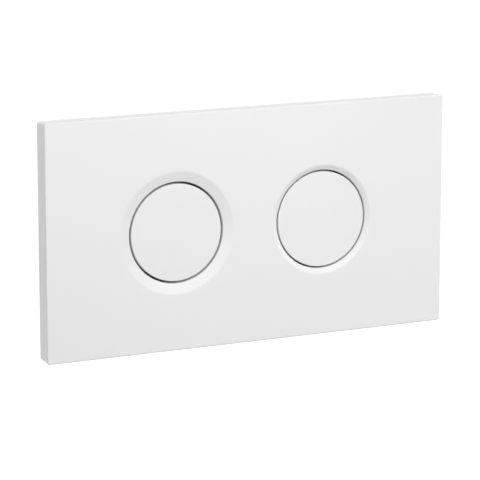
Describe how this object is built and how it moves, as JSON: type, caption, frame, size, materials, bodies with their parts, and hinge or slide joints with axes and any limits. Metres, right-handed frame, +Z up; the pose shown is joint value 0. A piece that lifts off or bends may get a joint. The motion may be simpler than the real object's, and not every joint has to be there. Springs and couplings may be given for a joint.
{
  "type": "flush button plate",
  "caption": "White dual flush plate for a concealed cistern: flat rectangular cover with round push buttons in wide and narrow dishes, sprung on push rods, over a wall frame.",
  "frame": {"origin": "middle of the plate on the wall's surface, midway between the fixing spindles", "axes": "+X to the right seen from the front, +Y into the wall along the buttons' travel, +Z up"},
  "size_m": [0.26, 0.089, 0.14],
  "materials": {
    "plate_white": "gloss white moulding",
    "button_white": "gloss white moulding",
    "plunger_black": "black, slippery plastic",
    "bridge_grey": "light grey moulding",
    "frame_grey": "mid grey moulding",
    "rod_white": "natural white rod",
    "spring_steel": "bright drawn wire",
    "zinc_steel": "bright zinc plate",
    "tip_rubber": "soft black rubber"
  },
  "bodies": {
    "plate": {"face_plate": "plate_white", "mounting_frame": "frame_grey", "full_guide_bridge": "bridge_grey", "half_guide_bridge": "bridge_grey", "full_return_spring": "spring_steel", "half_return_spring": "spring_steel", "bridge_screws": "zinc_steel", "left_fixing_spindle": "zinc_steel", "right_fixing_spindle": "zinc_steel", "left_clamp_nut": "zinc_steel", "right_clamp_nut": "zinc_steel", "spindle_washers": "zinc_steel"},
    "full_button": {"full_flush_button": "button_white", "full_plunger": "plunger_black", "full_push_rod": "rod_white", "full_rod_locknut": "rod_white", "full_rod_tip": "tip_rubber"},
    "half_button": {"half_flush_button": "button_white", "half_plunger": "plunger_black", "half_push_rod": "rod_white", "half_rod_locknut": "rod_white", "half_rod_tip": "tip_rubber"}
  },
  "joints": [
    {"name": "full_button_press", "type": "slide", "parent": "plate", "child": "full_button", "axis": [0, 1, 0], "range_m": [0, 0.0065], "stiffness_N_per_m": 1200, "springref_m": -0.004, "deforming": ["full_return_spring"]},
    {"name": "half_button_press", "type": "slide", "parent": "plate", "child": "half_button", "axis": [0, 1, 0], "range_m": [0, 0.0065], "stiffness_N_per_m": 1200, "springref_m": -0.004, "deforming": ["half_return_spring"]}
  ]
}
